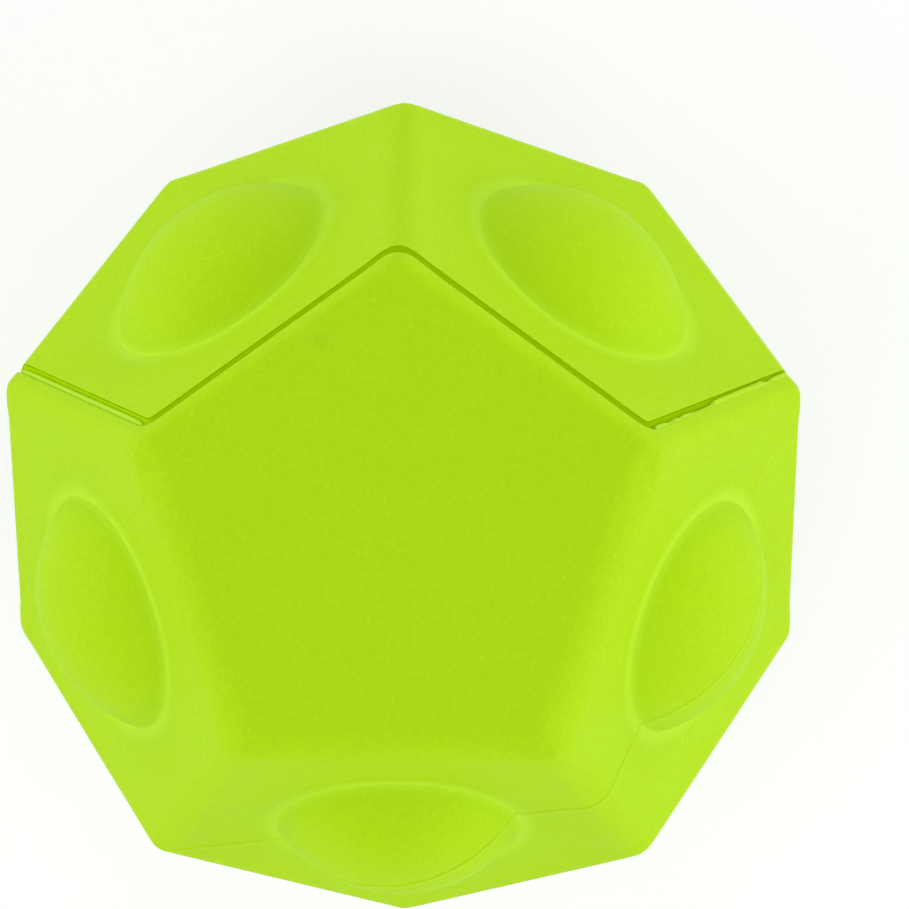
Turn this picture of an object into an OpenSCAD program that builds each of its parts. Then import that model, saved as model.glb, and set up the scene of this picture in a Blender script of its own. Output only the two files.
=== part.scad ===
// Hollow push-pop squeeze ball in moulded silicone, shaped as a regular dodecahedron.
// Eleven faces carry a round bubble that pushes in and pops back out, and the twelfth is flat.
// A zigzag slit along ten edges parts the ball into two halves of six faces each, which stay
// joined by a web at one corner. The ball lies on its back face, with its bubble pushed in.
// The origin is the centre of the back face, +Z points out of the flat face, +Y to the slit's peak.

/* [Ball] */
// Distance from the middle of the ball to its corners
corner_r = 35; // [30:0.5:45]
// Thickness of the moulded wall
wall = 2; // [1.6:0.1:2.4]

/* [Bubbles] */
// Radius of a bubble at its rim
bubble_r = 9.6; // [7:0.1:9.6]
// How far a bubble bulges out of its face
bubble_h = 5; // [3:0.1:5]
// Thickness of a bubble
bubble_wall = 1.2; // [0.8:0.1:1.4]
// Depth of the rim that sits in the face
rim_depth = 1.4; // [1:0.1:1.4]
// Clearance between a bubble's rim and its hole
rim_gap = 0.05; // [0.02:0.01:0.1]

/* [Slit] */
// Width of the slit between the two halves
slit_gap = 0.7; // [0.3:0.1:0.8]
// How far the slit stands back from the edges of the ball
slit_setback = 1.4; // [1:0.1:1.8]

/* [Hinge web] */
// Width of the web that joins the two halves
web_w = 8; // [5:0.5:12]
// Thickness of the web, outside inwards
web_t = 1.2; // [0.8:0.1:1.6]

/* [Hidden] */
$fn = 96;

// Regular dodecahedron, seen from the flat face: two rings of five faces and four of five corners
face_d = corner_r * sqrt((5 + 2 * sqrt(5)) / 15);
face_polar = atan(2);
inner_corner = acos(face_d / corner_r);
outer_corner = inner_corner + acos(sqrt(5) / 3);
upper_azimuths = [for (k = [0:4]) 54 + 72 * k];
lower_azimuths = [for (k = [0:4]) 18 + 72 * k];

// Corners of the slit as [polar, azimuth], in order round the ball
slit_corners = [
    [inner_corner, 90], [inner_corner, 18], [outer_corner, 18],
    [180 - outer_corner, 342], [180 - inner_corner, 342],
    [180 - inner_corner, 270],
    [180 - inner_corner, 198], [180 - outer_corner, 198],
    [outer_corner, 162], [inner_corner, 162]
];
// The middle face of the front half, and how squarely the slit's walls stand to it
front_pole = on_ball(face_polar, 270);
slit_lean = cos(face_polar) / sin(face_polar / 2);
// Sizes of the cutting bodies, as shares of corner_r
reach = 3;
tip_reach = 6;

dome_r = (pow(bubble_r, 2) + pow(bubble_h, 2)) / (2 * bubble_h);
dome_z = bubble_h - dome_r;
bore_top = 0.3;
bore_r = sqrt(pow(dome_r - bubble_wall, 2) - pow(bore_top - dome_z, 2)) - 0.02;

lime = [0.66, 0.83, 0.12];
lime_pale = [0.74, 0.89, 0.25];

function on_ball(polar, azimuth) =
    [sin(polar) * cos(azimuth), sin(polar) * sin(azimuth), cos(polar)];

// Lifts the ball from its own centre to where it lies on its back face
module lying() translate([0, 0, face_d]) children();

// Puts a child drawn on the XY plane onto a face, with +Z pointing out of the ball
module on_face(polar, azimuth)
    rotate([0, 0, azimuth]) rotate([0, polar, 0]) translate([0, 0, face_d]) children();

// Regular dodecahedron about its centre: six slabs, each with two opposite faces
module dodecahedron(d) {
    intersection() {
        cube([4 * d, 4 * d, 2 * d], center = true);
        intersection_for (azimuth = upper_azimuths)
            rotate([0, 0, azimuth]) rotate([0, face_polar, 0])
                cube([4 * d, 4 * d, 2 * d], center = true);
    }
}

// Everything on the front half's side of the slit, moved towards the base half by setback
module front_side(setback) {
    ring = [for (c = slit_corners) reach * corner_r * on_ball(c[0], c[1])];
    count = len(ring);
    points = concat([[0, 0, 0], tip_reach * corner_r * front_pole], ring);
    walls = [for (i = [0:count - 1]) [0, (i + 1) % count + 2, i + 2]];
    cap = [for (i = [0:count - 1]) [1, i + 2, (i + 1) % count + 2]];
    translate(-setback / slit_lean * front_pole) polyhedron(points, concat(walls, cap));
}

module ball_wall() {
    difference() {
        dodecahedron(face_d);
        dodecahedron(face_d - wall);
    }
}

// One hole through the wall at each bubble
module bubble_hole() {
    translate([0, 0, -2 * wall]) cylinder(h = 4 * wall, r = bubble_r + rim_gap);
}

module bubble_holes() {
    for (azimuth = upper_azimuths) on_face(face_polar, azimuth) bubble_hole();
    for (azimuth = lower_azimuths) on_face(180 - face_polar, azimuth) bubble_hole();
    on_face(180, 0) bubble_hole();
}

module base_shell() {
    color(lime) lying() difference() {
        ball_wall();
        front_side(slit_setback + slit_gap);
        bubble_holes();
    }
}

module front_shell() {
    color(lime) lying() difference() {
        intersection() {
            ball_wall();
            front_side(slit_setback);
        }
        bubble_holes();
    }
}

// The web fills the slit round the corner of the back face that is furthest from the slit's peak
module living_hinge() {
    color(lime) lying() difference() {
        intersection() {
            dodecahedron(face_d);
            front_side(slit_setback + slit_gap);
            translate([-web_w / 2, -corner_r, -corner_r]) cube([web_w, corner_r, corner_r]);
        }
        dodecahedron(face_d - web_t);
        front_side(slit_setback);
    }
}

// A bubble popped out of a face in the XY plane: a spherical dome on a short rim
module bubble() {
    color(lime_pale) difference() {
        union() {
            translate([0, 0, -rim_depth]) cylinder(h = rim_depth, r = bubble_r);
            intersection() {
                translate([0, 0, dome_z]) sphere(r = dome_r);
                cylinder(h = bubble_h + 1, r = bubble_r);
            }
        }
        intersection() {
            translate([0, 0, dome_z]) sphere(r = dome_r - bubble_wall);
            cylinder(h = bubble_h, r = bubble_r);
        }
        translate([0, 0, -rim_depth - 1]) cylinder(h = rim_depth + 1 + bore_top, r = bore_r);
    }
}

// The same bubble pushed in, so that its dome hangs inside the ball
module pushed_bubble() {
    translate([0, 0, -rim_depth]) mirror([0, 0, 1]) bubble();
}

base_shell();
front_shell();
living_hinge();
for (k = [0:4]) {
    lying() on_face(face_polar, upper_azimuths[k]) bubble();
    lying() on_face(180 - face_polar, lower_azimuths[k]) bubble();
}
lying() on_face(180, 0) pushed_bubble();  // back_bubble
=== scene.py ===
"""Push-pop squeeze ball in matte lime silicone: a hollow dodecahedron with eleven round bubbles,
one flat face and a zigzag slit. Sizes in this file are in millimetres unless a name says otherwise,
and MM turns them into the frame's metres."""
import math

import bmesh
import bpy
import numpy as np
from mathutils import Matrix, Vector


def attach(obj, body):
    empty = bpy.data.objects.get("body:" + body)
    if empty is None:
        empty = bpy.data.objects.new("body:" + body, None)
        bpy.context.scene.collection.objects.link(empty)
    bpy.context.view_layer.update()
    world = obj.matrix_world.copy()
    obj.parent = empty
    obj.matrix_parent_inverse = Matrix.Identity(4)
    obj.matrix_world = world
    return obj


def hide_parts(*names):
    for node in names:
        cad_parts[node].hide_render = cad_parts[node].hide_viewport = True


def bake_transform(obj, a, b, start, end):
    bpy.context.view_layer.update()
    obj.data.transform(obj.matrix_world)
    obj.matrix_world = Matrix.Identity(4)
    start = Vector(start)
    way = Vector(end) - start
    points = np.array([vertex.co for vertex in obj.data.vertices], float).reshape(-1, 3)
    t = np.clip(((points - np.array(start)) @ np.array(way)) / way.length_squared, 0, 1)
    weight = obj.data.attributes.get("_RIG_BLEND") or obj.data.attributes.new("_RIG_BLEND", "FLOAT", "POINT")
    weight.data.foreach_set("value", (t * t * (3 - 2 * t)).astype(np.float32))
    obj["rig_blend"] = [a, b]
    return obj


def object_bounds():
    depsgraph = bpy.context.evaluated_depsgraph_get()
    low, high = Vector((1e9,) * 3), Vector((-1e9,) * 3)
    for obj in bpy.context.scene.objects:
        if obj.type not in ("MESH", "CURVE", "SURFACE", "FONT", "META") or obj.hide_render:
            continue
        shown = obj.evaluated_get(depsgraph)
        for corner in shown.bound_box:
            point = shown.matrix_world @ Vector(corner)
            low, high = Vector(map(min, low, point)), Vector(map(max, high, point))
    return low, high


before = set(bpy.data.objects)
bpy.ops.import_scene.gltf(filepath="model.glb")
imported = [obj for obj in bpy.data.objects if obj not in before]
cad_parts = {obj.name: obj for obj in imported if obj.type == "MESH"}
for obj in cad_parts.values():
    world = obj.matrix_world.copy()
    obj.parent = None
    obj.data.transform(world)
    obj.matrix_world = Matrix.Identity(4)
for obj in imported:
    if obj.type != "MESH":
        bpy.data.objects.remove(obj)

CAD_BOX = [[float(x) for x in corner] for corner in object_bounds()]
MM = 0.001

# ---------------------------------------------------------------- the dodecahedron, from the frame
FACE_POLAR = math.atan(2.0)
INRADIUS_SHARE = math.sqrt((5 + 2 * math.sqrt(5)) / 15)
INNER_CORNER = math.acos(INRADIUS_SHARE)
OUTER_CORNER = INNER_CORNER + math.acos(math.sqrt(5) / 3)
FACE_D = (CAD_BOX[1][2] - CAD_BOX[0][2]) / MM / 2
CORNER_R = FACE_D / INRADIUS_SHARE
CENTRE = np.array([0.0, 0.0, FACE_D])
NEIGHBOUR_COS = math.cos(FACE_POLAR)

# ---------------------------------------------------------------- sizes of the mouldings
WALL = 2.0
INNER_D = FACE_D - WALL
INNER_ROUNDING = 1.2

# The slit: its width, its distance from the edges of the ball, and the radii of its two lips
SLIT_GAP = 0.73
SLIT_SETBACK = 1.3
BASE_LIP = 0.1
FRONT_LIP = 0.08
# How far the rounding of the slit's corners reaches, where a half has a tip and where it has a notch
FRONT_TIP_ROUND = 1.4
BASE_NOTCH_ROUND = 1.1
BASE_TIP_ROUND = 0.3
FRONT_NOTCH_ROUND = 1.3
# How far the slit's peak is moved towards the front half, and its right-hand corner's lips together
PEAK_DROP = 0.12
SLIT_PINCH = 0.13

# The front half's ledge, which closes the bottom of the slit: depths below the skin, and clearance
LEDGE_NEAR = 0.55
LEDGE_FAR = 0.12
LEDGE_FOOT = 1.3
LEDGE_CLEARANCE = 0.03

# How far the middle of a face is sunk, and where the fall from its edges begins and ends
SINK = 0.08
SINK_START = 1.9
SINK_WIDTH = 1.3

# A bubble: its dome, the thickness of its skin, the fillet at its foot and the dished ring round it
BUBBLE_R = 9.75
BUBBLE_H = 5.0
BUBBLE_SKIN = 0.5
BUBBLE_FILLET = 0.35
RING_R = 11.2
RING_DISH = 0.2
# Where the ring's painted highlight begins, and over what widths it comes in and fades out
RING_INNER_R = 9.5
RING_SOFT = 0.4
RING_FADE = 0.9

# How finely the skin is divided: along an edge, from a bubble to its face's edges, from the middle of
# the flat face to its edges, across the strip beside the slit, and over the lip
EDGE_POINTS = 28
FACE_RINGS = 16
FLAT_FACE_RINGS = 24
STRIP_ROWS = 7
LIP_ROWS = 5
# Points round a face's outline and round its bubble
ROUND = 5 * EDGE_POINTS


def direction(polar, azimuth_deg):
    """Unit vector at an angle from +Z, in radians, and an angle round it from +X, in degrees."""
    azimuth = math.radians(azimuth_deg)
    return np.array([math.sin(polar) * math.cos(azimuth), math.sin(polar) * math.sin(azimuth),
                     math.cos(polar)])


# The faces' normals, front for the flat face and back for the one that the ball lies on, and the
# corners, in four rings of five from the flat face down: U, V, W and T
FACES = {"front": direction(0, 0), "back": direction(math.pi, 0)}
for k in range(5):
    FACES[f"upper_{k + 1}"] = direction(FACE_POLAR, 54 + 72 * k)
    FACES[f"lower_{k + 1}"] = direction(math.pi - FACE_POLAR, 18 + 72 * k)
NORMALS = np.array(list(FACES.values()))
CORNERS = {}
for k in range(5):
    CORNERS[f"U{(18 + 72 * k) % 360}"] = CORNER_R * direction(INNER_CORNER, 18 + 72 * k)
    CORNERS[f"V{(18 + 72 * k) % 360}"] = CORNER_R * direction(OUTER_CORNER, 18 + 72 * k)
    CORNERS[f"W{54 + 72 * k}"] = CORNER_R * direction(math.pi - OUTER_CORNER, 54 + 72 * k)
    CORNERS[f"T{54 + 72 * k}"] = CORNER_R * direction(math.pi - INNER_CORNER, 54 + 72 * k)
# The corners that the slit passes, in order. An arm of the slit has the number of the corner it leaves.
SEAM = ["U90", "U18", "V18", "W342", "T342", "T270", "T198", "W198", "V162", "U162"]
SEAM_EDGES = {frozenset((SEAM[i], SEAM[(i + 1) % 10])): i for i in range(10)}
LEFT_ARM = SEAM.index("V162")
RIGHT_ARM = SEAM.index("U18")
# Painted shade at the bottom of the slit on the arms where it is not 1, and on the base half's lip
SLIT_SHADES = {LEFT_ARM: 0.25}
LIP_SHADE = 0.1
FRONT_FACES = ["front", "upper_3", "upper_4", "upper_5", "lower_4", "lower_5"]
BASE_FACES = [f for f in FACES if f not in FRONT_FACES]
# The middle face of the front half, and how squarely the slit stands to it
POLE = FACES["upper_4"]
SEAM_LEAN = math.cos(FACE_POLAR) / math.sin(FACE_POLAR / 2)


def corners_on(face):
    """Names of a face's five corners, in no special order. The other corners are far below its plane."""
    nearly_in_plane = 0.9 * FACE_D
    return [c for c in CORNERS if CORNERS[c] @ FACES[face] > nearly_in_plane]


def face_basis(face):
    """Two directions in the plane of a face, the first towards the corner whose name sorts first."""
    normal = FACES[face]
    x = CORNERS[min(corners_on(face))] - FACE_D * normal
    x /= np.linalg.norm(x)
    return x, np.cross(normal, x)


def face_corners(face):
    """Names of a face's five corners, anticlockwise seen from outside, from the basis' first one."""
    x, y = face_basis(face)
    full_turn = round(2 * math.pi, 6)

    def angle(corner):
        turned = math.atan2(CORNERS[corner] @ y, CORNERS[corner] @ x) % (2 * math.pi)
        return round(turned, 6) % full_turn

    return sorted(corners_on(face), key=angle)


# ---------------------------------------------------------------- rounded skin of the ball
# Radii of the edges: along the slit, by the rings they join, one by one round the middle, and the rest
SLIT_EDGE_RADIUS = 1.6
RING_EDGE_RADII = {"UU": 4.9, "UV": 2.8}
RIM_RADII = {frozenset(pair): radius for pair, radius in (
    (("V90", "W54"), 3.4), (("V90", "W126"), 3.4), (("V162", "W126"), 2.4), (("V18", "W54"), 2.6),
    (("V162", "W198"), 2.0), (("V234", "W198"), 2.4), (("V234", "W270"), 2.2), (("V306", "W270"), 1.7),
    (("V306", "W342"), 1.6), (("V18", "W342"), 1.5))}
OTHER_EDGE_RADIUS = 2.0
# How quickly one edge's radius gives way to another's, as an angle, and a gap beyond any edge's reach
RADIUS_BLEND = 0.02
OUT_OF_REACH = 9.0


def edge_radius(a, b):
    """Radius of the rounding along the edge between corners a and b."""
    if frozenset((a, b)) in SEAM_EDGES:
        return SLIT_EDGE_RADIUS
    rings = "".join(sorted(a[0] + b[0]))
    if rings == "VW":
        return RIM_RADII[frozenset((a, b))]
    return RING_EDGE_RADII.get(rings, OTHER_EDGE_RADIUS)


# Corners that are nearer together than this share an edge
EDGE_REACH = 0.8 * CORNER_R
EDGES = []
for a in CORNERS:
    for b in CORNERS:
        if a < b and np.linalg.norm(CORNERS[a] - CORNERS[b]) < EDGE_REACH:
            EDGES.append((a, b))
EDGE_MID = np.array([(CORNERS[a] + CORNERS[b]) / 2 for a, b in EDGES])
EDGE_MID /= np.linalg.norm(EDGE_MID, axis=1)[:, None]
EDGE_WAYS = [CORNERS[b] - CORNERS[a] for a, b in EDGES]
EDGE_ALONG = np.array([way / np.linalg.norm(way) for way in EDGE_WAYS])
EDGE_RADII = np.array([edge_radius(a, b) for a, b in EDGES])
EDGE_LENGTH = float(np.linalg.norm(CORNERS["U90"] - CORNERS["U18"]))
HALF_EDGE = math.asin(EDGE_LENGTH / 2 / CORNER_R)


def rounding_radius(dirs):
    """Radius of the rounding at each direction: a weighted mean of the nearest edges' radii."""
    along = dirs @ EDGE_ALONG.T
    out = dirs @ EDGE_MID.T
    side = np.sqrt(np.clip(1 - along ** 2 - out ** 2, 0, 1))
    past_end = np.clip(np.abs(along) - math.sin(HALF_EDGE), 0, 1)
    gap = np.where(out > 0, np.sqrt(side ** 2 + past_end ** 2), OUT_OF_REACH)
    weight = 1 / (gap ** 2 + RADIUS_BLEND ** 2) ** 2
    return (weight @ EDGE_RADII) / weight.sum(axis=1)


def core_distance(points, radius, face_d):
    """Distance from points to the sharp dodecahedron that is smaller by radius all round, whether
    the nearest place on it is a face, an edge or a corner."""
    depth = points @ NORMALS.T - (face_d - radius)[:, None]
    top = np.sort(depth, axis=1)[:, ::-1][:, :3]
    c = NEIGHBOUR_COS
    a1, a2, a3 = top[:, 0], top[:, 1], top[:, 2]
    distance = a1.copy()
    at_edge = a2 - c * a1 > 0
    l1 = (a1 - c * a2) / (1 - c * c)
    l2 = (a2 - c * a1) / (1 - c * c)
    distance = np.where(at_edge, np.sqrt(np.clip(l1 * a1 + l2 * a2, 0, None)), distance)
    at_corner = at_edge & (a3 - c * (l1 + l2) > 0)
    inverse = np.linalg.inv(np.array([[1, c, c], [c, 1, c], [c, c, 1]]))
    corner = np.sqrt(np.clip(np.einsum("ni,ij,nj->n", top, inverse, top), 0, None))
    return np.where(at_corner, corner, distance)


OPEN_EDGES = [(CORNERS[a], way) for (a, b), way in zip(EDGES, EDGE_WAYS)
              if frozenset((a, b)) not in SEAM_EDGES]


def sink(points):
    """How far the middle of a face is sunk below its soft edges, as moulded silicone shrinks. The
    edges along the slit have no such rise."""
    share = np.ones(len(points))
    for start, way in OPEN_EDGES:
        along = np.clip((points - start) @ way / (way @ way), 0, 1)
        gap = np.linalg.norm(points - start - along[:, None] * way, axis=1)
        share = np.minimum(share, np.clip((gap - SINK_START) / SINK_WIDTH, 0, 1))
    return SINK * share * share * (3 - 2 * share)


# The skin lies between this share of the sharp ball and all of it, and is found by halving the range
SKIN_LOWEST = 0.8
SKIN_HALVINGS = 34


def skin(dirs, face_d=FACE_D, radius=None):
    """Points of the rounded dodecahedron in these directions from its centre. Without a radius it is
    the ball's outer skin, with each edge's own rounding and the faces sunk."""
    dirs = dirs / np.linalg.norm(dirs, axis=1)[:, None]
    rho = rounding_radius(dirs) if radius is None else np.full(len(dirs), radius)
    flat = face_d / (dirs @ NORMALS.T).max(axis=1)
    low, high = SKIN_LOWEST * flat, flat.copy()
    for _ in range(SKIN_HALVINGS):
        middle = (low + high) / 2
        outside = core_distance(dirs * middle[:, None], rho, face_d) > rho
        high = np.where(outside, middle, high)
        low = np.where(outside, low, middle)
    points = dirs * high[:, None]
    if radius is None:
        points = points * (1 - sink(points) / FACE_D)[:, None]
    return points


def inner_skin(dirs):
    """Points of the skin round the hollow, in these directions from the centre."""
    return skin(dirs, INNER_D, INNER_ROUNDING)


def deeper(points, depth):
    """The points moved towards the centre by depth, one number or one for each point."""
    return points * (1 - depth / np.linalg.norm(points, axis=-1))[..., None]


# ---------------------------------------------------------------- loops along the slit
# Shares of an edge's length: evenly spaced ones, mixed with ones that are closer near its ends
EVEN_SHARE = 0.35
EVEN = np.linspace(0, 1, EDGE_POINTS + 1)
SPREAD = EVEN_SHARE * EVEN + (1 - EVEN_SHARE) * (0.5 - 0.5 * np.cos(math.pi * EVEN))


def edge_points(a, b):
    """EDGE_POINTS + 1 points from a to b."""
    return a + SPREAD[:, None] * (b - a)


def ridge_point(way, setback):
    """Where the slit, moved by setback towards the base half, meets the sharp dodecahedron on its way
    outwards from its apex. Only faces that look that way are met."""
    start = -setback / SEAM_LEAN * POLE
    least = 0.1
    reach = min((FACE_D - n @ start) / (n @ way) for n in NORMALS if n @ way > least)
    return start + reach * way


def seam_loop(setback, round_front, round_base, pinch):
    """Ten stretches of EDGE_POINTS + 1 points along the slit. Corners where the front half is convex
    are rounded over round_front, the others over round_base. The peak at U90 is a little low, and at
    V18 the loop is moved by pinch as well."""
    shifts = {"U90": -PEAK_DROP, "V18": pinch}
    ridge = [ridge_point(CORNERS[c] / CORNER_R, setback + shifts.get(c, 0.0)) for c in SEAM]
    stretches = []
    for i in range(10):
        a, b = ridge[i], ridge[(i + 1) % 10]
        points = edge_points(a, b)
        ends = ((i, a, b, ridge[i - 1]), ((i + 1) % 10, b, a, ridge[(i + 2) % 10]))
        for end, here, there, beyond in ends:
            reach = round_front if end % 2 == 0 else round_base
            out = (there - here) / np.linalg.norm(there - here)
            back = (beyond - here) / np.linalg.norm(beyond - here)
            far = np.linalg.norm(points - here, axis=1)
            near = far < reach
            u = (0.5 + 0.5 * far[near] / reach)[:, None]
            curve = (1 - u) ** 2 * (here + reach * back) + 2 * u * (1 - u) * here
            points[near] = curve + u ** 2 * (here + reach * out)
        stretches.append(points)
    return stretches


# ---------------------------------------------------------------- meshes
class Grid:
    """Collects quads and triangles from rows of points, with two marks on each point: skin, whether it
    is on the ball's outer skin, and groove, how much painted shade it has, up to 1 at the bottom of the
    slit."""

    def __init__(self):
        self.points, self.faces, self.skin, self.groove = [], [], [], []

    def add(self, rows, outer, flip=False, closed=False, groove=None):
        """Rows is an array (rows, points along, 3), and groove has one mark for each row."""
        rows = np.asarray(rows)
        start = len(self.points)
        m, n = rows.shape[:2]
        self.points.extend(rows.reshape(-1, 3).tolist())
        self.skin.extend([outer] * (m * n))
        for i in range(m):
            self.groove.extend([groove[i] if groove else 0.0] * n)
        for i in range(m - 1):
            this, following = start + i * n, start + (i + 1) * n
            for j in range(n if closed else n - 1):
                k = (j + 1) % n
                quad = [this + j, this + k, following + k, following + j]
                self.faces.append(quad[::-1] if flip else quad)

    def fan(self, ring, centre, outer, flip=False):
        """Triangles from a closed ring of points to its centre."""
        start = len(self.points)
        n = len(ring)
        self.points.extend(np.asarray(ring).tolist() + [list(centre)])
        self.skin.extend([outer] * (n + 1))
        self.groove.extend([0.0] * (n + 1))
        for j in range(n):
            tri = [start + j, start + (j + 1) % n, start + n]
            self.faces.append(tri[::-1] if flip else tri)


# Points nearer together than WELD are one point. Edges sharper than SHARP_ANGLE aren't smoothed.
WELD = 0.004
SHARP_ANGLE = math.radians(38)

# The mould's parting line, on a plane through the ball's centre, tilted by half of FACE_POLAR. The
# heights of the skin at signed distances from that plane are a ridge and a shallow groove beside it.
PARTING_TILT = 31.7175
PARTING_AZIMUTH = 126
PARTING_NORMAL = direction(math.radians(PARTING_TILT), PARTING_AZIMUTH)
PARTING_CUTS = (-0.42, -0.26, -0.14, -0.06, 0.0, 0.05, 0.12, 0.24)
PARTING_HEIGHTS = (0.0, 0.02, 0.07, 0.1, 0.075, 0.0, -0.04, 0.0)
CUT_TOLERANCE = 0.002
# It begins at a height above the floor, and is stronger in some places along Y than in others
PARTING_FLOOR = 0.05
PARTING_FADE = 1.5
PARTING_PLACES = (-26.0, -12.0, 2.0)
PARTING_STRENGTHS = (1.0, 0.8, 0.3)
# Painted highlight on the top of the ridge, and painted shade in the bottom of the groove
PARTING_HIGHLIGHT = 0.8
PARTING_SHADE = 0.4


def add_parting_line(bm, skin_layer, highlight_layer, shade_layer):
    """Cuts the mesh along the parting line, and moves and marks the points of its outer skin."""
    for offset in PARTING_CUTS:
        geometry = bm.verts[:] + bm.edges[:] + bm.faces[:]
        bmesh.ops.bisect_plane(bm, geom=geometry, dist=CUT_TOLERANCE, plane_no=PARTING_NORMAL,
                               plane_co=CENTRE + offset * PARTING_NORMAL)
    for v in bm.verts:
        out = np.array(v.co) - CENTRE
        above_floor = min(max((v.co.z - PARTING_FLOOR) / PARTING_FADE, 0.0), 1.0)
        strength = float(np.interp(out[1], PARTING_PLACES, PARTING_STRENGTHS))
        height = float(np.interp(out @ PARTING_NORMAL, PARTING_CUTS, PARTING_HEIGHTS))
        height = height * v[skin_layer] * above_floor * strength
        # The ridge's top gets a painted highlight and the groove's bottom a painted shade
        v[highlight_layer] = max(0.0, height) / max(PARTING_HEIGHTS) * PARTING_HIGHLIGHT
        painted_shade = min(0.0, height) / min(PARTING_HEIGHTS) * PARTING_SHADE
        v[shade_layer] = max(v[shade_layer], painted_shade)
        if height:
            v.co = v.co + Vector(out / np.linalg.norm(out)) * height


def build(name, grid, parting=True):
    """Turns a grid into a welded, smooth mesh object in metres, with the parting line on its outer skin.
    Its ring and groove attributes hold how much painted highlight and painted shade each point has."""
    mesh = bpy.data.meshes.new(name)
    mesh.from_pydata((np.array(grid.points) + CENTRE).tolist(), [], grid.faces)
    bm = bmesh.new()
    bm.from_mesh(mesh)
    layers = bm.verts.layers.float
    # The ring layer carries painted highlight, the groove layer painted shade
    for layer in ("skin", "ring", "groove"):
        layers.new(layer)
    skin_layer, highlight_layer, shade_layer = layers["skin"], layers["ring"], layers["groove"]
    for v, outer, groove in zip(bm.verts, grid.skin, grid.groove):
        v[skin_layer] = float(outer)
        v[shade_layer] = groove
    bmesh.ops.remove_doubles(bm, verts=bm.verts, dist=WELD)
    if parting:
        add_parting_line(bm, skin_layer, highlight_layer, shade_layer)
    bmesh.ops.recalc_face_normals(bm, faces=bm.faces)
    bmesh.ops.scale(bm, vec=(MM, MM, MM), verts=bm.verts)
    bm.to_mesh(mesh)
    bm.free()
    mesh.polygons.foreach_set("use_smooth", [True] * len(mesh.polygons))
    mesh.set_sharp_from_angle(angle=SHARP_ANGLE)
    mesh.attributes.remove(mesh.attributes["skin"])
    obj = bpy.data.objects.new(name, mesh)
    bpy.context.scene.collection.objects.link(obj)
    return obj


# ---------------------------------------------------------------- bubbles
# Points of a bubble's profile on its ring, its fillet and its dome
RING_POINTS = 8
FILLET_POINTS = 9
DOME_POINTS = 20
# The fillet's place is found by halving a range that ends this far inside BUBBLE_R
PROFILE_HALVINGS = 40
PROFILE_MARGIN = 0.5


def bubble_profile():
    """Radius and height of a bubble's outer skin: a ring that dips towards the dome, a fillet, the dome."""
    ball_r = (BUBBLE_R ** 2 + BUBBLE_H ** 2) / (2 * BUBBLE_H)
    ball_z = BUBBLE_H - ball_r
    low, high = 0.0, RING_R - BUBBLE_R + PROFILE_MARGIN
    for _ in range(PROFILE_HALVINGS):
        dip = (low + high) / 2
        slope = math.atan(RING_DISH * dip)
        x = RING_R - dip - BUBBLE_FILLET * math.sin(slope)
        z = -RING_DISH * dip * dip / 2 + BUBBLE_FILLET * math.cos(slope)
        if math.hypot(x, z - ball_z) > ball_r + BUBBLE_FILLET:
            low = dip
        else:
            high = dip
    meet = math.atan2(x, z - ball_z)
    points = []
    for inwards in dip * np.linspace(0, 1, RING_POINTS)[:-1]:
        points.append((RING_R - inwards, -RING_DISH * inwards ** 2 / 2))
    for a in np.linspace(-slope, meet, FILLET_POINTS):
        points.append((x - BUBBLE_FILLET * math.sin(a), z - BUBBLE_FILLET * math.cos(a)))
    for a in np.linspace(meet, 0, DOME_POINTS)[1:-1]:
        points.append((ball_r * math.sin(a), ball_z + ball_r * math.cos(a)))
    return np.array(points)


PROFILE = bubble_profile()
HOLE_R = PROFILE[0, 0]


def circle(face, radius, height):
    """Points on a circle in the plane of a face, raised by height, from the first corner on."""
    x, y = face_basis(face)
    angles = np.arange(ROUND) / ROUND * 2 * math.pi
    ring = radius * (np.cos(angles)[:, None] * x + np.sin(angles)[:, None] * y)
    return ring + (FACE_D - SINK + height) * FACES[face]


def bubble(name, face, pushed=False):
    """A bubble: a thin domed skin whose outer edge meets the edge of the hole in its face."""
    grid = Grid()
    sign = -1 if pushed else 1
    heights = [min(-z, 0.0) if pushed else z for z in PROFILE[:, 1]]
    outer = [circle(face, r, height) for r, height in zip(PROFILE[:, 0], heights)]
    inner = [circle(face, r, height - BUBBLE_SKIN) for r, height in zip(PROFILE[:, 0], heights)]
    inner[0] = outer[0] * (1 - BUBBLE_SKIN / FACE_D)
    grid.add(outer, True, closed=True)
    grid.add(inner, False, flip=True, closed=True)
    grid.add([outer[0], inner[0]], False, flip=True, closed=True)
    crown = FACE_D - SINK + sign * BUBBLE_H
    grid.fan(outer[-1], crown * FACES[face], True)
    grid.fan(inner[-1], (crown - BUBBLE_SKIN) * FACES[face], False, flip=True)
    obj = build(name, grid)
    mark_ring_highlight(obj, FACES[face])
    return obj


def mark_ring_highlight(obj, normal):
    """Stores how much painted highlight each point has on the thin ring round the dome, for the material."""
    points = np.array([v.co for v in obj.data.vertices]) / MM - CENTRE
    radius = np.linalg.norm(points - (points @ normal)[:, None] * normal, axis=1)
    share = np.clip((radius - RING_INNER_R) / RING_SOFT, 0, 1)
    share = share * np.clip((RING_R - radius) / RING_FADE, 0, 1)
    for value, more in zip(obj.data.attributes["ring"].data, share):
        value.value = max(value.value, more)


# ---------------------------------------------------------------- the two halves
# How much closer the rings of points are towards the edge of a face, on the flat face and the others
FLAT_FACE_CROWDING = 1.5
FACE_CROWDING = 1.4
# Rows of points under the front half's strip, and shares of the depth of the base half's wall
UNDER_ROWS = 4
WALL_SHARES = (0.35, 0.7, 1.0)


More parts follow.
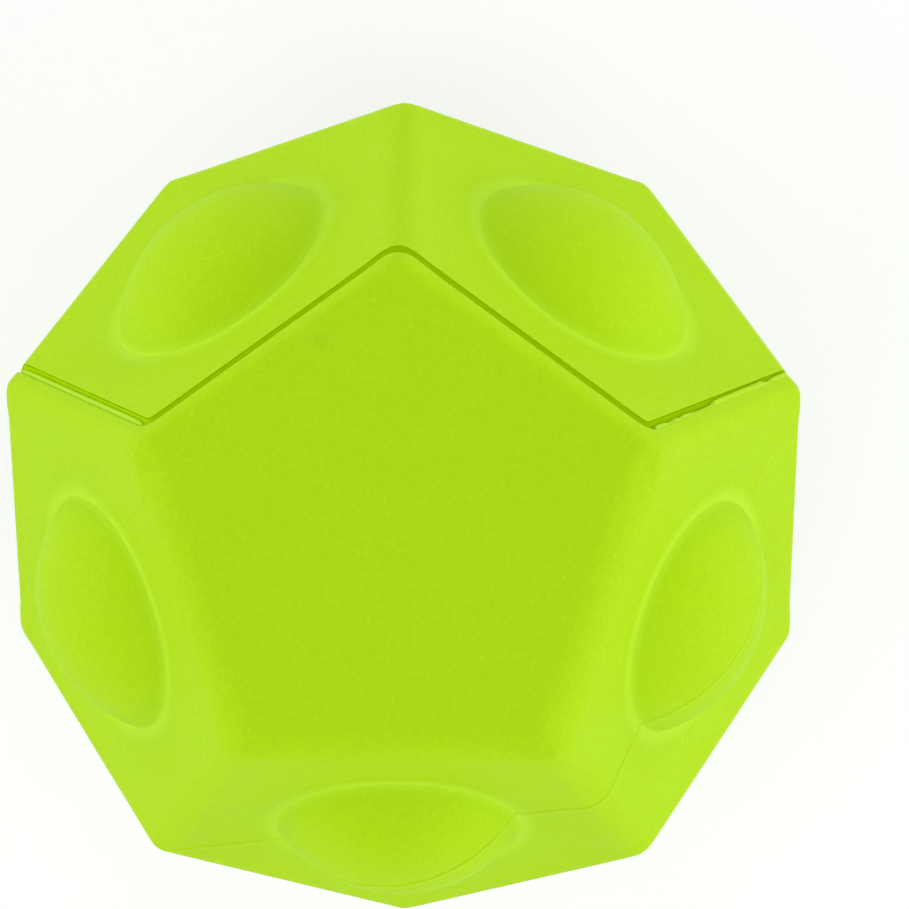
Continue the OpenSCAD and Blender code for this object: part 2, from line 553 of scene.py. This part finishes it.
def face_border(face, loop):
    """The outline of a face, ROUND points. Along the slit it keeps to the loop, or, without a loop, to
    the edges of the ball."""
    places = dict(CORNERS)
    if loop:
        for corner, stretch in zip(SEAM, loop):
            places[corner] = stretch[0]
    names = face_corners(face)
    border = []
    for a, b in zip(names, names[1:] + names[:1]):
        arm = SEAM_EDGES.get(frozenset((a, b)))
        if loop and arm is not None:
            stretch = loop[arm] if SEAM[arm] == a else loop[arm][::-1]
        else:
            stretch = edge_points(places[a], places[b])
        border.extend(stretch[:-1])
    return np.array(border)


def add_face(grid, face, border):
    """A face's outer and inner skins, out to its border, and the wall of its bubble's hole."""
    if face == "front":
        steps = 1 - (1 - np.linspace(0, 1, FLAT_FACE_RINGS)) ** FLAT_FACE_CROWDING
        middle = np.tile(FACE_D * FACES[face], (ROUND, 1))
        flat = [middle + s * (border - middle) for s in steps[1:]]
    else:
        steps = 1 - (1 - np.linspace(0, 1, FACE_RINGS + 1)) ** FACE_CROWDING
        hole = circle(face, HOLE_R, 0)
        flat = [hole + s * (border - hole) for s in steps]
    flat = np.array(flat)
    outside = skin(flat.reshape(-1, 3)).reshape(flat.shape)
    inside = inner_skin(flat.reshape(-1, 3)).reshape(flat.shape)
    grid.add(outside, True, flip=True, closed=True)
    grid.add(inside, False, closed=True)
    if face == "front":
        grid.fan(outside[0], FACE_D * FACES[face], True)
        grid.fan(inside[0], INNER_D * FACES[face], False, flip=True)
    else:
        grid.add([outside[0], inside[0]], False, closed=True)


def lip_rows(start, rim, lip, shade):
    """Rows over a rounded lip, from start on the face to as far below the rim as the lip's radius. Each
    has its points, whether they are outer skin, and how much painted shade they have."""
    start, rim = skin(start), skin(rim)
    down = deeper(rim, lip)
    rows = []
    for angle in np.linspace(0, math.pi / 2, LIP_ROWS + 1):
        points = start + down - rim + math.cos(angle) * (rim - down) + math.sin(angle) * (rim - start)
        rows.append((points, angle == 0, shade if angle else 0.0))
    return rows


def add_rows(grid, rows):
    """Joins each row to the next, rows as lip_rows makes them."""
    for above, below in zip(rows, rows[1:]):
        grid.add([above[0], below[0]], above[1] and below[1], groove=[above[2], below[2]])


def add_front_arm(grid, arm, start, rim, ledge):
    """The front half along an arm of the slit: a strip from the ball's edge to the lip, the lip, the
    ledge that reaches under the base half's lip, and the inner skin."""
    edge = edge_points(CORNERS[SEAM[arm]], CORNERS[SEAM[(arm + 1) % 10]])
    rows = []
    for s in np.linspace(0, 1, STRIP_ROWS)[:-1]:
        rows.append((skin(edge + s * (start - edge)), True, 0.0))
    rows += lip_rows(start, rim, FRONT_LIP, 0.0)
    near, far = skin(rim), skin(ledge)
    # Painted shade on the ledge at the bottom of the slit
    shade = SLIT_SHADES.get(arm, 1.0)
    rows.append((deeper(near, LEDGE_NEAR), False, shade))
    rows.append((deeper(far, LEDGE_FAR), False, shade))
    rows.append((deeper(far, LEDGE_FOOT), False, 0.0))
    rows.append((deeper(near, LEDGE_FOOT), False, 0.0))
    rows.append((inner_skin(rim), False, 0.0))
    add_rows(grid, rows)
    under = [inner_skin(edge + s * (rim - edge)) for s in np.linspace(0, 1, UNDER_ROWS)]
    grid.add(under, False, flip=True)


def add_base_arm(grid, start, rim):
    """The base half along an arm of the slit: the lip, the wall below it and the inner skin."""
    # Painted shade on the lip and on the wall below it
    rows = lip_rows(start, rim, BASE_LIP, LIP_SHADE)
    down = deeper(skin(rim), BASE_LIP)
    end = inner_skin(rim)
    for s in WALL_SHARES:
        rows.append((down + s * (end - down), False, LIP_SHADE))
    add_rows(grid, rows)
    grid.add([inner_skin(start), end], False, flip=True)


def half_shell(name, faces, front):
    """One half of the ball: outer skin, inner skin, lips of the slit and walls of the bubble holes."""
    slope = math.cos(FACE_POLAR / 2)
    front_corners = (FRONT_TIP_ROUND, FRONT_NOTCH_ROUND, SLIT_PINCH)
    base_corners = (BASE_NOTCH_ROUND, BASE_TIP_ROUND, -SLIT_PINCH)
    grid = Grid()
    if front:
        start_loop = seam_loop(SLIT_SETBACK - FRONT_LIP * slope, *front_corners)
        rim_loop = seam_loop(SLIT_SETBACK, *front_corners)
        ledge_loop = seam_loop(SLIT_SETBACK + SLIT_GAP - LEDGE_CLEARANCE, *base_corners)
    else:
        start_loop = seam_loop(SLIT_SETBACK + SLIT_GAP + BASE_LIP * slope, *base_corners)
        rim_loop = seam_loop(SLIT_SETBACK + SLIT_GAP, *base_corners)
    for face in faces:
        add_face(grid, face, face_border(face, None if front else start_loop))
    for arm in range(10):
        if front:
            add_front_arm(grid, arm, start_loop[arm], rim_loop[arm], ledge_loop[arm])
        else:
            add_base_arm(grid, start_loop[arm], rim_loop[arm])
    return build(name, grid)


# ---------------------------------------------------------------- flash and web
# Flash is let into the front lip and into the ledge, and its free edges are bevelled
FLASH_OVERLAP = 0.02
FLASH_FOOT = 0.05
FLASH_BEVEL = 0.04
FLASH_BEVEL_DEPTH = 0.05

# The web, at the corner of the slit furthest from its peak: half its width along the slit, how far it
# is let into both lips, and the depths below the skin of its top, of its sag in the middle and its foot
WEB_CORNER = SEAM.index("T270")
HINGE_HALF_WIDTH = 4.0
HINGE_BITE = 0.12
HINGE_TOP = 0.25
HINGE_SAG = 0.1
HINGE_FOOT = 1.2
HINGE_POINTS = 9
HINGE_ROWS = 7


def slit_points(arm, shares, setbacks):
    """Points on the skin along an arm of the slit, at shares of its length, with a setback for each."""
    a, b = (ridge_point(CORNERS[SEAM[end % 10]] / CORNER_R, 0.0) for end in (arm, arm + 1))
    points = [ridge_point(a + share * (b - a), setback) for share, setback in zip(shares, setbacks)]
    return skin(np.array(points))


def flash(name, arm, shares, edge, top, groove_width, groove_depth, highlight):
    """Silicone left standing in the slit against the front half's lip. Its free edge is at the setbacks
    in edge and its top at the depths in top, and a groove parts it from the lip. All of it carries an even
    painted highlight."""
    grid = Grid()
    lip = np.full(len(shares), SLIT_SETBACK - FLASH_OVERLAP)
    groove = np.full(len(shares), SLIT_SETBACK + groove_width)
    under = np.full(len(shares), LEDGE_NEAR + FLASH_FOOT)
    section = ((lip, under), (lip, top + groove_depth), (groove, top + groove_depth),
               (groove + FLASH_BEVEL, top), (edge - FLASH_BEVEL, top), (edge, top + FLASH_BEVEL_DEPTH),
               (edge, under))
    rows = [deeper(slit_points(arm, shares, setbacks), depths) for setbacks, depths in section]
    grid.add(rows + rows[:1], False)
    for end in (0, -1):
        ring = [row[end] for row in rows]
        grid.fan(ring, np.mean(ring, axis=0), False)
    obj = build(name, grid, parting=False)
    # An even painted highlight over the whole flash
    for value in obj.data.attributes["ring"].data:
        value.value = highlight
    return obj


def hinge_web(name):
    """The web across the slit at WEB_CORNER, with its two long edges let into the lips."""
    grid = Grid()
    shares = np.linspace(1 - HINGE_HALF_WIDTH / EDGE_LENGTH, 1, HINGE_POINTS)
    along = [(WEB_CORNER - 1, t) for t in shares] + [(WEB_CORNER, 1 - t) for t in shares[-2::-1]]
    setbacks = np.linspace(SLIT_SETBACK - HINGE_BITE, SLIT_SETBACK + SLIT_GAP + HINGE_BITE, HINGE_ROWS)
    outer = []
    for back in setbacks:
        outer.append(np.concatenate([slit_points(arm, [t], [back]) for arm, t in along]))
    outer = np.array(outer)
    dip = HINGE_TOP + HINGE_SAG * np.sin(np.linspace(0, math.pi, HINGE_ROWS))
    top = deeper(outer, dip[:, None])
    foot = deeper(outer, HINGE_FOOT)
    grid.add(top, False)
    grid.add(foot, False, flip=True)
    for end in (0, -1):
        grid.add([top[end], foot[end]], False)
        grid.add([top[:, end], foot[:, end]], False)
    return build(name, grid, parting=False)


# ---------------------------------------------------------------- materials
LIME_COLOUR = (0.386, 0.636, 0.002, 1)
LIME_DEEP = (0.362, 0.603, 0.002, 1)
# Painted highlight: on the ring round each dome, the top of the parting line's ridge and the flash
PAINTED_HIGHLIGHT_COLOUR = (0.43, 0.695, 0.02, 1)
DUST_COLOUR = (0.62, 0.76, 0.16, 1)
# Painted shade in the slit, on the base half's lip and in the parting groove; also the round mark's own
# colour
SLIT_SHADE_AND_MARK_COLOUR = (0.285, 0.465, 0.0, 1)

# Each texture's patches, as their size and detail, the part of its range that is used, and what it gives
MOTTLE = (0.4, 3.0)
MOTTLE_RANGE = (0.35, 0.65)
DUST = (0.4, 1.0)
DUST_RANGE = (0.765, 0.8)
DUST_SHARE = 0.35
GLOSS = (3.5, 2.0)
GLOSS_RANGE = (0.3, 0.7)
ROUGHNESS = (0.58, 0.68)
# The relief's patches, as their size and detail, and then its strength and depth
GRAIN = (0.22, 2.0, 0.25, 0.008)
WAVES = (5.0, 1.0, 0.2, 0.03)
# Gloss of the silicone. The bottom of the slit has none, because it would turn grey.
SPECULAR = 0.1

# A faint round mark on the flat face, such as an ejector pin leaves: its place, the radii where its
# colour begins to fade and ends, and how strong that colour is
MARK_PLACE = (-6.0, 14.65, 2 * FACE_D)
MARK_RADII = (0.45, 0.85)
MARK_SHARE = 0.22


def noise(tree, where, size_mm, detail):
    """A noise texture whose patches are about size_mm across."""
    node = tree.nodes.new("ShaderNodeTexNoise")
    node.inputs["Scale"].default_value = 1 / (size_mm * MM)
    node.inputs["Detail"].default_value = detail
    tree.links.new(where, node.inputs["Vector"])
    return node.outputs["Fac"]


def spread(tree, value, given, wanted):
    """Maps value from the range given onto the range wanted, and clamps it."""
    node = tree.nodes.new("ShaderNodeMapRange")
    tree.links.new(value, node.inputs["Value"])
    for name, number in zip(("From Min", "From Max", "To Min", "To Max"), (*given, *wanted)):
        node.inputs[name].default_value = number
    return node.outputs["Result"]


def attribute(tree, name):
    """One of the marks that build stores on the points."""
    node = tree.nodes.new("ShaderNodeAttribute")
    node.attribute_name = name
    return node.outputs["Fac"]


def mix_colours(tree, share, first, second):
    """Mixes two colours, each a tuple or the output of a node."""
    node = tree.nodes.new("ShaderNodeMix")
    node.data_type = "RGBA"
    tree.links.new(share, node.inputs[0])
    for socket, colour in ((node.inputs[6], first), (node.inputs[7], second)):
        if isinstance(colour, tuple):
            socket.default_value = colour
        else:
            tree.links.new(colour, socket)
    return node.outputs[2]


def relief(tree, where, size_mm, detail, strength, depth_mm):
    """A bump node for patches of relief."""
    node = tree.nodes.new("ShaderNodeBump")
    node.inputs["Strength"].default_value = strength
    node.inputs["Distance"].default_value = depth_mm * MM
    tree.links.new(noise(tree, where, size_mm, detail), node.inputs["Height"])
    return node


def round_mark(tree, where):
    """How much of the round mark's colour each place has."""
    distance = tree.nodes.new("ShaderNodeVectorMath")
    distance.operation = "DISTANCE"
    distance.inputs[1].default_value = [x * MM for x in MARK_PLACE]
    tree.links.new(where, distance.inputs[0])
    radii = [radius * MM for radius in MARK_RADII]
    return spread(tree, distance.outputs["Value"], radii, (MARK_SHARE, 0.0))


def silicone(name, specular):
    """Matte moulded silicone with fine grain, faint mottling, specks of dust and long soft waves. It has
    a painted highlight where the ring mark is high and painted shade where the groove mark is high, and
    is darker on the round mark."""
    material = bpy.data.materials.new(name)
    material.use_nodes = True
    tree = material.node_tree
    shader = tree.nodes["Principled BSDF"]
    shader.inputs["Specular IOR Level"].default_value = specular
    where = tree.nodes.new("ShaderNodeTexCoord").outputs["Object"]
    mottle = spread(tree, noise(tree, where, *MOTTLE), MOTTLE_RANGE, (0.0, 1.0))
    colour = mix_colours(tree, mottle, LIME_DEEP, LIME_COLOUR)
    # Painted highlight where the ring mark is high
    colour = mix_colours(tree, attribute(tree, "ring"), colour, PAINTED_HIGHLIGHT_COLOUR)
    # Painted shade where the groove mark is high
    colour = mix_colours(tree, attribute(tree, "groove"), colour, SLIT_SHADE_AND_MARK_COLOUR)
    colour = mix_colours(tree, round_mark(tree, where), colour, SLIT_SHADE_AND_MARK_COLOUR)
    dust = spread(tree, noise(tree, where, *DUST), DUST_RANGE, (0.0, DUST_SHARE))
    colour = mix_colours(tree, dust, colour, DUST_COLOUR)
    tree.links.new(colour, shader.inputs["Base Color"])
    rough = spread(tree, noise(tree, where, *GLOSS), GLOSS_RANGE, ROUGHNESS)
    tree.links.new(rough, shader.inputs["Roughness"])
    grain = relief(tree, where, *GRAIN)
    waves = relief(tree, where, *WAVES)
    tree.links.new(waves.outputs["Normal"], grain.inputs["Normal"])
    tree.links.new(grain.outputs["Normal"], shader.inputs["Normal"])
    return material


LIME = silicone("lime_silicone", SPECULAR)
LIME_IN_SLIT = silicone("lime_silicone_in_slit", 0.0)


# ---------------------------------------------------------------- pieces
def bubble_piece(face):
    """A bubble, blended from its shell, at its rim, to its own body, at the crown of its dome."""
    place, _, number = face.partition("_")
    pushed = face == "back"
    body = "back_bubble" if pushed else f"{place}_bubble_{number}"
    shell = "front_shell" if face in FRONT_FACES else "base_shell"
    piece = bubble(f"{body}_skin", face, pushed)
    rim = (CENTRE + FACE_D * FACES[face]) * MM
    crown = rim + (-1 if pushed else 1) * BUBBLE_H * MM * FACES[face]
    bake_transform(piece, shell, body, start=tuple(rim), end=tuple(crown))
    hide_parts(body)
    return piece


def web_piece():
    """The web, blended from the base half, at its lip, to the front half, at its lip."""
    piece = hinge_web("living_hinge_web")
    setbacks = (SLIT_SETBACK + SLIT_GAP, SLIT_SETBACK)
    lips = [slit_points(WEB_CORNER - 1, [1.0], [back])[0] for back in setbacks]
    start, end = (tuple((CENTRE + lip) * MM) for lip in lips)
    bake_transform(piece, "base_shell", "front_shell", start=start, end=end)
    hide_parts("living_hinge")
    return piece


# Points along each flash, where it starts and how long it is, as shares of its arm of the slit
FLASH_POINTS = 90
LEFT_START, LEFT_LENGTH = 0.06, 0.91
RIGHT_START, RIGHT_LENGTH = 0.04, 0.94
# The left one at its ends, and how much wider and higher it is from this share of its length inwards
LEFT_END_WIDTH, LEFT_END_DEPTH = 0.22, 0.05
LEFT_SWELL, LEFT_TAPER, LEFT_RISE = 0.13, 0.03, 0.06
LEFT_END_SHARE = 0.04
# The right one: the torn edge of its narrow stretch, and how far it reaches, by the place along it
RIGHT_WIDTH, RIGHT_DEPTH, RIGHT_RISE = 0.12, 0.06, 0.12
RIGHT_PLACES = (0.42, 0.44, 0.8, 0.83, 0.86, 0.89, 1.0)
RIGHT_REACHES = (0.0, 0.42, 0.46, 0.2, 0.2, 0.4, 0.4)
TORN_POINTS = 34
TORN_LOW, TORN_HIGH = -0.04, 0.2
TORN_SEED = 7


def left_flash():
    """An even strip along the left arm of the slit."""
    along = np.linspace(0, 1, FLASH_POINTS)
    inwards = np.clip(np.minimum(along, 1 - along) / LEFT_END_SHARE, 0, 1)
    edge = SLIT_SETBACK + LEFT_END_WIDTH + (LEFT_SWELL + LEFT_TAPER * along) * inwards
    top = LEFT_END_DEPTH - LEFT_RISE * inwards
    return flash("slit_flash_left", LEFT_ARM, LEFT_START + LEFT_LENGTH * along, edge, top,
                 groove_width=0.06, groove_depth=0.12, highlight=1.0)


def right_flash():
    """A torn piece along the right arm of the slit."""
    along = np.linspace(0, 1, FLASH_POINTS)
    chance = np.random.default_rng(TORN_SEED)
    tears = np.maximum(chance.uniform(TORN_LOW, TORN_HIGH, TORN_POINTS), 0.0)
    torn = np.interp(along, np.linspace(0, 1, TORN_POINTS), tears)
    reach = np.interp(along, RIGHT_PLACES, RIGHT_REACHES)
    edge = SLIT_SETBACK + np.maximum(RIGHT_WIDTH + torn, reach)
    top = RIGHT_DEPTH - RIGHT_RISE * reach
    return flash("slit_flash_right", RIGHT_ARM, RIGHT_START + RIGHT_LENGTH * along, edge, top,
                 groove_width=0.015, groove_depth=0.02, highlight=0.8)


base = half_shell("base_shell_skin", BASE_FACES, front=False)
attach(base, "base_shell")
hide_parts("base_shell")
front = half_shell("front_shell_skin", FRONT_FACES, front=True)
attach(front, "front_shell")
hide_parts("front_shell")
pieces = [base, front]
for face in FACES:
    if face != "front":
        pieces.append(bubble_piece(face))
pieces.append(web_piece())
for piece in (left_flash(), right_flash()):
    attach(piece, "front_shell")
    pieces.append(piece)
for piece in pieces:
    piece.data.materials.append(LIME)
for piece in (base, front):
    piece.data.materials.append(LIME_IN_SLIT)
    marks = [value.value for value in piece.data.attributes["groove"].data]
    for polygon in piece.data.polygons:
        polygon.material_index = int(min(marks[i] for i in polygon.vertices) > 0)
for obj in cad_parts.values():
    obj.data.materials.clear()
    obj.data.materials.append(LIME)

# ---------------------------------------------------------------- camera
# The turn from looking straight down on the flat face, as one rotation vector, the distance from the
# middle of the ball, and how far to its right and above it the camera aims
TURN = np.radians([3.16, -1.18, -0.35])
CAMERA_RANGE = 11.46 * CORNER_R
LENS = 191.5
AIM_RIGHT, AIM_UP = np.tan(np.radians([0.598, 0.672]))


def camera():
    """A long lens above the ball, a little off its axis."""
    turn = Matrix.Rotation(float(np.linalg.norm(TURN)), 3, Vector(TURN).normalized()).transposed()
    right, up, back = (turn @ Vector(axis) for axis in ((1, 0, 0), (0, 1, 0), (0, 0, 1)))
    data = bpy.data.cameras.new("camera")
    data.sensor_width = 36
    data.lens = LENS
    data.clip_start = 0.01
    obj = bpy.data.objects.new("camera", data)
    place = Vector(CENTRE * MM) + back * CAMERA_RANGE * MM
    aim = (-back + right * AIM_RIGHT + up * AIM_UP).normalized()
    z = -aim
    x = up.cross(z).normalized()
    y = z.cross(x)
    obj.matrix_world = Matrix.Translation(place) @ Matrix((x, y, z)).transposed().to_4x4()
    bpy.context.scene.collection.objects.link(obj)
    bpy.context.scene.camera = obj


camera()


# ---------------------------------------------------------------- floor and light
# In this section lengths are in metres
LIGHT_RANGE = 0.95
LIGHT_SIZE = 0.5
LIGHT_TARGET = Vector((0, 0, 0.03))
# Rings of soft boxes: the angle above the horizon, then the azimuth and watts of each box
LIGHTS = {
    "low": (12, ((0, 3.6), (45, 2.6), (90, 1.7), (135, 2.3),
                 (180, 3.7), (225, 1.0), (270, 1.4), (315, 1.1))),
    "middle": (38, ((90, 1.1), (225, 0.8), (315, 2.0))),
    "high": (64, ((225, 2.0), (315, 1.1))),
    "top": (90, ((0, 1.9),))}
FLOOR_SIZE = 6
FLOOR_GAP = 0.00002
FLOOR_COLOUR = (0.93, 0.93, 0.93, 1)
FLOOR_ROUGHNESS = 0.8
# The haze over the floor: its shares of white at two distances from the middle
HAZE_DISTANCES = (0.1, 0.5)
HAZE_SHARES = (0.7, 1.0)


def floor():
    """A pale matte floor just under the ball."""
    bpy.ops.mesh.primitive_plane_add(size=FLOOR_SIZE, location=(0, 0, -FLOOR_GAP))
    obj = bpy.context.object
    obj.name = "floor"
    material = bpy.data.materials.new("pale_floor")
    material.use_nodes = True
    tree = material.node_tree
    shader = tree.nodes["Principled BSDF"]
    shader.inputs["Base Color"].default_value = FLOOR_COLOUR
    shader.inputs["Roughness"].default_value = FLOOR_ROUGHNESS
    shader.inputs["Specular IOR Level"].default_value = 0.0
    obj.data.materials.append(material)


def far_haze():
    """Whitens the floor, most of all far from the lamps, and gives no light."""
    bpy.ops.mesh.primitive_plane_add(size=FLOOR_SIZE, location=(0, 0, FLOOR_GAP))
    obj = bpy.context.object
    obj.name = "far_haze"
    material = bpy.data.materials.new("white_haze")
    material.use_nodes = True
    tree = material.node_tree
    tree.nodes.remove(tree.nodes["Principled BSDF"])
    where = tree.nodes.new("ShaderNodeTexCoord").outputs["Object"]
    length = tree.nodes.new("ShaderNodeVectorMath")
    length.operation = "LENGTH"
    tree.links.new(where, length.inputs[0])
    mix = tree.nodes.new("ShaderNodeMixShader")
    tree.links.new(spread(tree, length.outputs["Value"], HAZE_DISTANCES, HAZE_SHARES), mix.inputs[0])
    tree.links.new(tree.nodes.new("ShaderNodeBsdfTransparent").outputs[0], mix.inputs[1])
    tree.links.new(tree.nodes.new("ShaderNodeEmission").outputs[0], mix.inputs[2])
    tree.links.new(mix.outputs[0], tree.nodes["Material Output"].inputs["Surface"])
    obj.data.materials.append(material)
    obj.visible_diffuse = False
    obj.visible_glossy = False
    obj.visible_shadow = False


def soft_box(name, elevation, azimuth, watts):
    """A square lamp that points at the ball and isn't seen by the camera."""
    data = bpy.data.lights.new(name, "AREA")
    data.shape = "SQUARE"
    data.size = LIGHT_SIZE
    data.energy = watts
    obj = bpy.data.objects.new(name, data)
    out = direction(math.radians(90 - elevation), azimuth)
    obj.location = LIGHT_TARGET + Vector(out) * LIGHT_RANGE
    obj.rotation_euler = (-Vector(out)).to_track_quat("-Z", "Y").to_euler()
    obj.visible_camera = False
    bpy.context.scene.collection.objects.link(obj)


def surroundings():
    """White where the camera looks past the floor, but no light on the ball."""
    world = bpy.data.worlds.new("white_surroundings")
    bpy.context.scene.world = world
    world.use_nodes = True
    world.node_tree.nodes["Background"].inputs["Color"].default_value = (1, 1, 1, 1)
    world.cycles_visibility.diffuse = False
    world.cycles_visibility.glossy = False


floor()
far_haze()
for ring_name, (elevation, boxes) in LIGHTS.items():
    for azimuth, watts in boxes:
        soft_box(f"{ring_name}_box_{azimuth}", elevation, azimuth, watts)
surroundings()
bpy.context.scene.view_settings.view_transform = "Standard"
